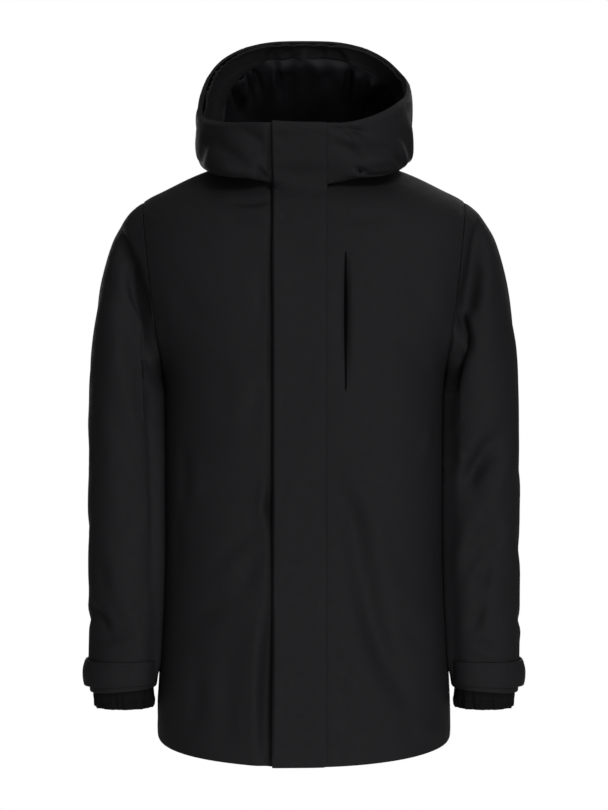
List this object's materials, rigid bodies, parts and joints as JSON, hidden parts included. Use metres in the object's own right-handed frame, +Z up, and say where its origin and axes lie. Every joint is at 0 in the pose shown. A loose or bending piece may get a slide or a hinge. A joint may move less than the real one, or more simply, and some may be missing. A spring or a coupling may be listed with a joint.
{
  "type": "hooded parka",
  "caption": "Hollow hooded parka of padded woven cloth in its worn form, with a storm flap over the front zip, an upright chest pocket, tabbed sleeve ends and elastic inner cuffs",
  "frame": {"origin": "middle of the neck opening, level with the high shoulder points, where the coat is carried", "axes": "+X to the wearer's left, -Y to the front, +Z up"},
  "size_m": [0.6146, 0.34, 1.006],
  "materials": {
    "shell": "matt close woven polyester",
    "lining": "smooth lining cloth with a slight sheen",
    "zip_tape": "woven zip tape with moulded teeth"
  },
  "bodies": {
    "root": {"front_left": "shell", "front_right": "shell", "back": "shell", "sleeve_left": "shell", "sleeve_right": "shell", "hood_side_left": "shell", "hood_side_right": "shell", "hood_centre": "shell", "hood_facing": "shell", "storm_flap": "shell", "cuff_tab_left": "shell", "cuff_tab_right": "shell", "chest_pocket_welt": "shell", "hood_lining": "lining", "storm_cuff_left": "lining", "storm_cuff_right": "lining", "front_zip": "zip_tape", "chest_pocket_zip": "zip_tape"}
  },
  "joints": []
}
